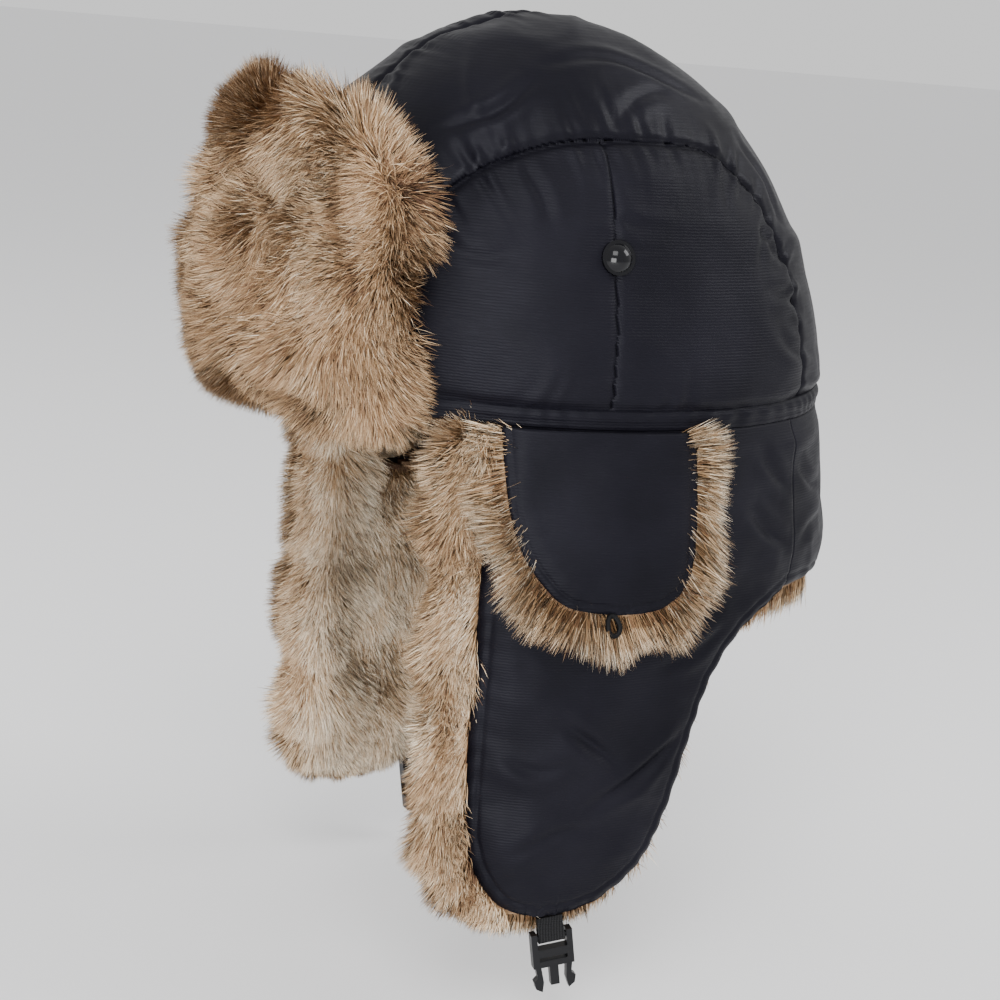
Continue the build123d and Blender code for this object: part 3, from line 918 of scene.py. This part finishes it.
def tone(roots, draw, painted_shading):
    """How light each hair is, from 0 deep brown to 1 cream: patches, streaks and scatter, less an amount of
    painted shading set per region (painted shade where positive, painted light where negative).
    """
    patch = 0.52 + 0.11 * waves(roots * [1, 1, 0.75], 24, 71) + 0.07 * waves(roots, 9, 72)
    streak = ease(creases(roots * [1, 1, 0.7], 34, 73), 0.5, 0.95) * ease(waves(roots, 40, 74), -0.4, 0.8)
    # the last term is painted shade where positive and painted light where negative, set per region
    value = patch - 0.46 * streak + draw.normal(0, 0.16, len(roots)) - painted_shading
    return np.clip(value, 0, 1)


def strands(name, roots, normals, comb, length, draw, width=0.31, curl=0.26, painted_shading=0.0, clump=5.5):
    """Tapered ribbons in three lengthwise shades, drawn into clumps, as one mesh; each hair's lightness is
    shifted by region, as painted shade where it is lowered and painted light where it is raised.
    """
    count = len(roots)
    lean = unit(comb)
    sway = ruffle(roots, 15, 81)
    heading = unit(normals * 0.9 + lean * 0.65 + 0.3 * sway + draw.normal(0, 0.2, (count, 3)))
    length = length * (0.82 + 0.24 * draw.random(count) + 0.14 * waves(roots, clump * 1.6, 84))
    tip = roots + heading * length[:, None]
    cell = np.round(tip / clump).astype(int)
    jitter = np.sin(cell @ np.array([12.9898, 78.233, 37.719]) + np.array([[0.0], [2.1], [4.2]])) * 0.35
    centre = (cell + jitter.T) * clump
    pull = 0.22 * draw.random(count)[:, None]
    tip = tip + (centre - tip) * pull
    bend = lean * 0.5 + draw.normal(0, 0.35, (count, 3))
    bend -= heading * (bend * heading).sum(1, keepdims=True)
    middle = (roots + tip) / 2 - bend * (curl * length)[:, None] * 0.5
    side = unit(np.cross(heading, normals + draw.normal(0, 0.45, (count, 3))))
    width = width * (0.75 + 0.5 * draw.random(count))
    stops = np.array([0.0, 0.36, 0.7, 1.0])
    thick = np.array([1.0, 0.95, 0.62, 0.08])
    points = np.empty((count, STRAND_POINTS, 3))
    for i, (s, w) in enumerate(zip(stops, thick)):
        spine = (1 - s) ** 2 * roots + 2 * s * (1 - s) * middle + s**2 * tip
        points[:, 2 * i] = spine - side * (width * w / 2)[:, None]
        points[:, 2 * i + 1] = spine + side * (width * w / 2)[:, None]
    quads = np.array([[0, 1, 3, 2], [2, 3, 5, 4], [4, 5, 7, 6]])
    faces = (np.arange(count)[:, None, None] * STRAND_POINTS + quads).reshape(-1, 4)
    # lightness of each hair, with the painted shade and painted light in it
    light = tone(roots, draw, painted_shading)
    ends = draw.random(count)
    root_shade = np.clip(0.6 + 3.4 * light + draw.normal(0, 0.5, count), 0, 4)
    mid_shade = np.clip(1.2 + 5.2 * light + draw.normal(0, 0.7, count), 0, 8)
    tip_shade = np.clip(2.2 + 6.2 * light + draw.normal(0, 0.8, count), 1, 8)
    tip_shade = np.where(ends < 0.16, draw.uniform(0, 3, count), tip_shade)
    shades = np.round(np.stack([root_shade, mid_shade, tip_shade], 1)).astype(int)
    facing = unit(np.cross(heading, side))
    facing *= np.sign((facing * normals).sum(1, keepdims=True) + 1e-6)
    shown = unit(0.55 * normals + 0.45 * facing)
    shown = np.repeat(shown, STRAND_POINTS, axis=0)
    piece = add_mesh(name, points.reshape(-1, 3), faces, hair_materials, shades.ravel(), shown)
    return piece


def grow_roots(points, faces, count, draw, weight, keep):
    """Roots on a closed mesh that faces outwards, with those that keep refuses left out."""
    roots, normals = scatter(points, faces, 2 * count, draw, weight)
    radial = band_out(roots)
    kept = np.flatnonzero(keep(roots, (normals * radial).sum(1)))[:count]
    return roots[kept], normals[kept], radial[kept]


def bulged(grid, out, depth, edge_round):
    """Pushes a grid outwards, less towards its border, so that its edges are round."""
    rows, columns = grid.shape[:2]
    r = np.linspace(0, 1, rows)[:, None]
    c = np.linspace(0, 1, columns)[None]
    near = np.minimum(np.minimum(r, 1 - r) * edge_round[0], np.minimum(c, 1 - c) * edge_round[1])
    near = np.clip(near, 0, 1)
    return grid + out * (depth * np.sqrt(1 - (1 - near) ** 2))[..., None]


def front_grid(rows, columns, grow, off):
    """Grid of the front flap on the band's oval: x by arc, z up, with a rounded top."""
    u = np.linspace(-1, 1, columns)
    half = 60 + grow
    x = half * (0.55 * u + 0.45 * np.sin(u * math.pi / 2))
    top = 103 + 0.6 * grow - 26 * np.abs(x / half) ** 4.5
    v = np.linspace(0, 1, rows)[:, None]
    low = -grow
    z = top[None] * (1 - v) + low * v
    off = np.broadcast_to(off, z.shape)
    a = BAND_A + off
    b = BAND_B + off
    y = -b * np.sqrt(1 - (x[None] / a) ** 2)
    return np.stack([x[None] * np.ones_like(z), y, z], -1)


def outward_sheet(outer, inner, keep=None):
    """A closed sheet whose faces look outwards."""
    points, faces = closed_sheet(outer, inner, keep)
    points, faces = drop_loose(points, faces)
    a, b, c = points[faces[:, 0]], points[faces[:, 1]], points[faces[:, 2]]
    volume = ((a - points.mean(0)) * np.cross(b - a, c - a)).sum()
    return points, faces if volume > 0 else faces[:, ::-1]


def front_depth(base):
    """The front pile is deepest low down, with soft folds and two valleys."""
    flat = base.reshape(-1, 3)
    low = np.exp(-(((flat[:, 2] - 30) / 38) ** 2))
    lumps = 2.2 * waves(flat, 21, 52) + 1.0 * waves(flat, 11, 53)
    valley = np.exp(-(((flat[:, 0] - 22 + 0.35 * (flat[:, 2] - 60)) / 9) ** 2)) * ease(flat[:, 2], 30, 60)
    valley += np.exp(-(((flat[:, 0] + 30 + 0.2 * (flat[:, 2] - 60)) / 10) ** 2)) * ease(flat[:, 2], 45, 80)
    return (8.5 + 8.0 * low).reshape(base.shape[:2]), (lumps - 5.0 * valley).reshape(base.shape[:2])


def make_front_flap():
    """Front flap: cloth backing, pad and the thick fur that faces forwards."""
    draw = np.random.default_rng(101)
    inner = front_grid(60, 90, 0, 5.4)
    out = band_out(inner)
    flat = inner.reshape(-1, 3)
    wrinkle = (0.5 * waves(flat, 24, 51)).reshape(inner.shape[:2])
    points, faces = outward_sheet(inner + out * 4.0, inner + out * wrinkle[..., None])
    cloth = add_mesh("front_flap_cloth", points, faces, [nylon_flap])
    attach(cloth, "front_flap")
    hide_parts("front_flap_shell", "front_flap_padding")

    base = front_grid(80, 120, 1, 9.0)
    out = band_out(base)
    depth, lumps = front_depth(base)
    outer = bulged(base, out, depth, (4.0, 5.0)) + out * lumps[..., None]
    points, faces = outward_sheet(outer, base)
    skin = add_mesh("front_fur_backing", points, faces, [skin_material])
    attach(skin, "front_flap")
    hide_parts("front_flap_fur")

    def facing_front(_, outwards):
        return outwards > -0.35

    for index in range(4):
        roots, normals, _ = grow_roots(points, faces, STRANDS, draw, None, facing_front)
        comb = np.array([-0.25, 0.0, -0.9]) + 0.9 * ruffle(roots, 30, 90)
        rim = ease(roots[:, 2], 84, 108)[:, None]
        comb = comb * (1 - rim) + rim * (np.array([0, 0.1, 0.8]) + 0.4 * comb)
        length = 14.0 + 2.5 * waves(roots, 18, 95)
        # painted shade: every hair of the front fur is made deeper in tone
        fur = strands(f"front_fur_{index}", roots, normals, comb, length, draw, painted_shading=0.19)
        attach(fur, "front_flap")


def beyond_cloth(roots):
    """Which roots lie past the front edge of an ear flap's cloth."""
    front = outline_at(roots[:, 2], EAR_FRONT)
    return (roots[:, 1] < front + 2.5) & (roots[:, 1] < -43)


def make_ear_fur():
    grid = ear_grid(150, 96, 8.5, 1.0, -4.6)
    out = band_out(grid)
    gap, _ = edge_gap(grid)
    rounding = round_over(gap, 8)
    depth = 8.0 * rounding * ease(-grid[..., 2], -2, 10)
    ahead = ease(-grid[..., 1], 44, 56)
    swell = 1.8 * rounding * ease(8 - gap, 0, 4) * ahead * ease(-grid[..., 2], 4, 12)
    outer = grid + out * swell[..., None]
    middle = (grid[:-1, :-1] + grid[1:, 1:]) / 2
    points, faces = outward_sheet(outer, grid - out * (0.4 + depth)[..., None], ~in_vent(middle))
    for side, sign in SIDES:
        draw = np.random.default_rng(200 + sign)
        placed, turned = mirrored(points, faces, sign)
        skin = add_mesh(f"ear_fur_backing_{side}", placed, turned, [skin_material])
        blend_fold(skin)
        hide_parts(f"ear_flap_fur_{side}")

        def keep(roots, outwards):
            seam = (roots[:, 1] > SPLIT_Y - 5) & (roots[:, 2] > -NECK_DROP - 1) & (outwards > -0.75)
            return ((outwards < 0.3) | beyond_cloth(roots)) & (roots[:, 2] < -3) & ~seam & ~in_vent(roots, 1)

        for index in range(4):
            roots, normals, radial = grow_roots(placed, turned, STRANDS, draw, edge_first, keep)
            front = ease(-roots[:, 1], 50, 64)[:, None]
            comb = np.array([0.0, -0.1, -1.0]) + 0.5 * front * (np.array([0, -1.0, 0.2]) + 0.5 * radial)
            comb = comb + 0.5 * ruffle(roots, 26, 110)
            comb -= 0.5 * (1 - front) * ease(-roots[:, 2], 150, 180)[:, None] * radial
            foot = ease(-roots[:, 2], 150, 182) * (1 - front[:, 0])
            length = (13.0 + 2.0 * waves(roots, 20, 115)) * (1 - 0.25 * foot)
            behind = roots[:, 1] - outline_at(roots[:, 2], EAR_REAR)
            rear_edge = ease(behind, -14, -2) * ease(-roots[:, 2], 67, 77)
            length *= 1 - 0.5 * rear_edge * (1 - ease(-roots[:, 2], 150, 176))
            length += 3.5 * front[:, 0] * ease(-roots[:, 2], 160, 180)
            # painted light: hairs on the flaps' inner faces, which lie in shade, are made paler
            inward = ease(-(normals * radial).sum(1), 0.2, 0.8)
            comb -= 0.9 * rear_edge[:, None] * (radial + np.array([0, 1.0, 0]))
            fur = strands(f"ear_fur_{side}_{index}", roots, normals, comb, length, draw, painted_shading=-0.34 * inward)
            blend_fold(fur)


def edge_first(middle):
    """More roots at the flap's free edges than on its inner face."""
    near_front = ease(-middle[:, 1], 46, 60)
    low = ease(-middle[:, 2], 150, 178)
    rear = ease(middle[:, 1], 25, 50) * ease(-middle[:, 2], 63, 73)
    return 1 + 1.8 * np.maximum(np.maximum(near_front, low), rear)


def make_neck_fur():
    rows, columns = 60, 160
    limit = math.asin((SPLIT_Y + 0.2) / BAND_B)
    turn = np.linspace(limit, math.pi - limit, columns)
    ring, out = oval_frame(turn, -4.6)
    z = -1 - (NECK_DROP + 1) * np.linspace(0, 1, rows)
    grid = flared(ring[None] + np.array([0, 0, 1.0]) * z[:, None, None])
    out = np.broadcast_to(out[None], grid.shape)
    gap = grid[..., 2] + NECK_DROP + 2
    depth = 8.0 * round_over(gap, 8) * ease(-grid[..., 2], -2, 10)
    points, faces = outward_sheet(grid, grid - out * (0.4 + depth)[..., None])
    skin = add_mesh("neck_fur_backing", points, faces, [skin_material])
    blend_fold(skin)
    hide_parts("neck_flap_fur")
    draw = np.random.default_rng(301)

    def keep(roots, outwards):
        seam = (np.abs(roots[:, 0]) > 68) & (roots[:, 1] < SPLIT_Y + 8) & (roots[:, 2] > -NECK_DROP - 1)
        return (outwards < 0.3) & (roots[:, 2] < -3) & ~(seam & (outwards > -0.75))

    def low_first(middle):
        return 1 + 2.2 * ease(-middle[:, 2], 55, 67)

    for index in range(2):
        roots, normals, _ = grow_roots(points, faces, STRANDS, draw, low_first, keep)
        comb = np.array([0.0, 0.0, -1.0]) + 0.5 * ruffle(roots, 26, 120)
        length = 13.0 + 2.5 * waves(roots, 20, 125)
        # painted light: the neck fur, in shade under the hat, is made paler
        fur = strands(f"neck_fur_{index}", roots, normals, comb, length, draw, painted_shading=-0.34)
        blend_fold(fur)


def make_vent_fur():
    """Fur of the cover flaps: long hairs round the rim and a shorter pile under the whole flap."""
    grid = vent_grid(70, 70, 0.8, -0.9, top=2.0)
    flat = grid.reshape(-1, 3)
    out = band_out(flat).reshape(grid.shape)
    edge = np.concatenate([grid[:, 0], grid[-1], grid[::-1, -1]])
    gap, _ = nearest(flat, edge)
    depth = np.minimum(VENT_OFF - VENT_SLOPE * grid[..., 2] - 1.0, 5.0)
    inner = grid - out * (depth * ease(gap.reshape(depth.shape), -3, 5))[..., None]
    points, faces = outward_sheet(grid, inner)
    centre = np.array([0, VENT_Y, -22.0])
    for side, sign in SIDES:
        draw = np.random.default_rng(400 + sign)
        placed, turned = mirrored(points, faces, sign)
        skin = add_mesh(f"vent_fur_backing_{side}", placed, turned, [skin_material])
        blend_vent(skin)
        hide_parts(f"vent_flap_fur_{side}")

        def keep(roots, outwards):
            border = nearest(roots * [sign, 1, 1], edge)[0]
            reach = 12 * draw.random(len(roots)) + 1
            return ((outwards < 0.4) | (border < 1.6)) & (roots[:, 2] < -3) & (border < reach)

        roots, _, radial = grow_roots(placed, turned, STRANDS, draw, None, keep)
        away = (roots - centre) * [0, 1, 1]
        tangent = unit(away - radial * (away * radial).sum(1, keepdims=True))
        comb = tangent * 1.7 + radial * 0.5 + np.array([0, 0, -0.4])
        comb = comb + 0.8 * ruffle(roots, 16, 130)
        hair_normal = unit(tangent + radial * 0.6)
        length = 15.5 + 2.0 * waves(roots, 16, 135) + 3.5 * ease(-roots[:, 2], 40, 64)
        # painted light: all of the cover flap's fur is made paler, against the shade it lies in
        fur = strands(f"vent_fur_{side}", roots, hair_normal, comb, length, draw, painted_shading=-0.2, clump=4.5)
        blend_vent(fur)

        def underneath(roots, outwards):
            return (outwards < -0.3) & (roots[:, 2] < -3)

        roots, normals, _ = grow_roots(placed, turned, PILE_STRANDS, draw, None, underneath)
        comb = np.array([0.0, 0.0, -1.2]) + 0.6 * ruffle(roots, 16, 140)
        length = 7.0 + 1.0 * waves(roots, 16, 145)
        # painted light: the pile under the cover flap is made paler, against the shade it lies in
        pile = strands(f"vent_pile_{side}", roots, normals, comb, length, draw, painted_shading=-0.2, clump=4.5)
        blend_vent(pile)


# ---- fittings --------------------------------------------------------------------------------
def dress(node, material):
    """Gives a carried-over CAD node its material."""
    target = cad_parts[node]
    for place in target.material_slots:
        place.material = material
    if not target.material_slots:
        target.data.materials.append(material)


def make_fittings():
    """Materials of the pieces that are shown as CAD made them."""
    gloss = plastic("button_gloss", (0.002, 0.002, 0.003), 0.10, Specular_IOR_Level=0.28)
    satin = plastic("buckle_satin", (0.006, 0.006, 0.007), 0.34, Specular_IOR_Level=0.2)
    steel = new_material("washer_steel", (0.55, 0.55, 0.56), 0.35, Metallic=1.0)
    tape = plastic("hook_and_loop", (0.010, 0.010, 0.010), 0.95)
    for side, _ in SIDES:
        dress(f"dome_button_{side}", gloss)
        dress(f"button_washer_{side}", steel)
        dress(f"strap_{side}", webbing_material)
    dress("buckle_male", satin)
    dress("buckle_female", satin)
    dress("front_patch_loop", tape)
    dress("front_patch_hook", tape)


# ---- stage --------------------------------------------------------------------------------------
def make_stage():
    """Pale floor, white surroundings and four soft lamps."""
    floor_z = -0.236
    bpy.ops.mesh.primitive_plane_add(size=60, location=(0, 0, floor_z))
    floor = bpy.context.object
    floor.name = "floor"
    floor.data.materials.append(new_material("floor_pale", (0.86, 0.86, 0.87), 0.8))
    world = bpy.data.worlds.new("studio")
    bpy.context.scene.world = world
    world.use_nodes = True
    world.node_tree.nodes["Background"].inputs["Color"].default_value = (1, 1, 1, 1)
    world.node_tree.nodes["Background"].inputs["Strength"].default_value = 0.95
    lights = (
        ("key", (1.1, -0.7, 1.3), 0.9, 19),
        ("front", (1.0, -0.78, -0.05), 0.7, 21),
        ("fill", (-0.9, -1.4, 0.5), 1.2, 12),
        ("rim", (0.6, 1.3, 1.0), 0.8, 14),
    )
    for name, place, size, power in lights:
        data = bpy.data.lights.new(name, "AREA")
        data.size = size
        data.energy = power
        lamp = bpy.data.objects.new(name, data)
        lamp.location = place
        lamp.rotation_euler = (-Vector(place)).to_track_quat("-Z", "Y").to_euler()
        bpy.context.scene.collection.objects.link(lamp)


def make_camera():
    """The main view: its direction, tilt, lens, distance and aim."""
    distance = 0.768
    azimuth, elevation, roll = math.radians(61.1), math.radians(13.7), math.radians(5.15)
    level = math.cos(elevation)
    back = Vector((math.sin(azimuth) * level, -math.cos(azimuth) * level, math.sin(elevation)))
    right = Vector((math.cos(azimuth), math.sin(azimuth), 0))
    up = back.cross(right)
    tilted_right = right * math.cos(roll) + up * math.sin(roll)
    tilted_up = up * math.cos(roll) - right * math.sin(roll)
    data = bpy.data.cameras.new("camera")
    data.lens = 69.7
    data.sensor_width = 36
    camera = bpy.data.objects.new("camera", data)
    aim = tilted_right * -0.0197 + tilted_up * -0.0484
    turn = Matrix((tilted_right, tilted_up, back)).transposed()
    camera.matrix_world = Matrix.Translation(back * distance + aim) @ turn.to_4x4()
    bpy.context.scene.collection.objects.link(camera)
    bpy.context.scene.camera = camera


make_crown()
make_headband()
make_lining()
make_sweatband()
make_ear_flaps()
make_neck_flap()
make_vent_flaps()
make_bindings()
make_loops()
make_front_flap()
make_ear_fur()
make_neck_fur()
make_vent_fur()
make_fittings()
make_stage()
make_camera()
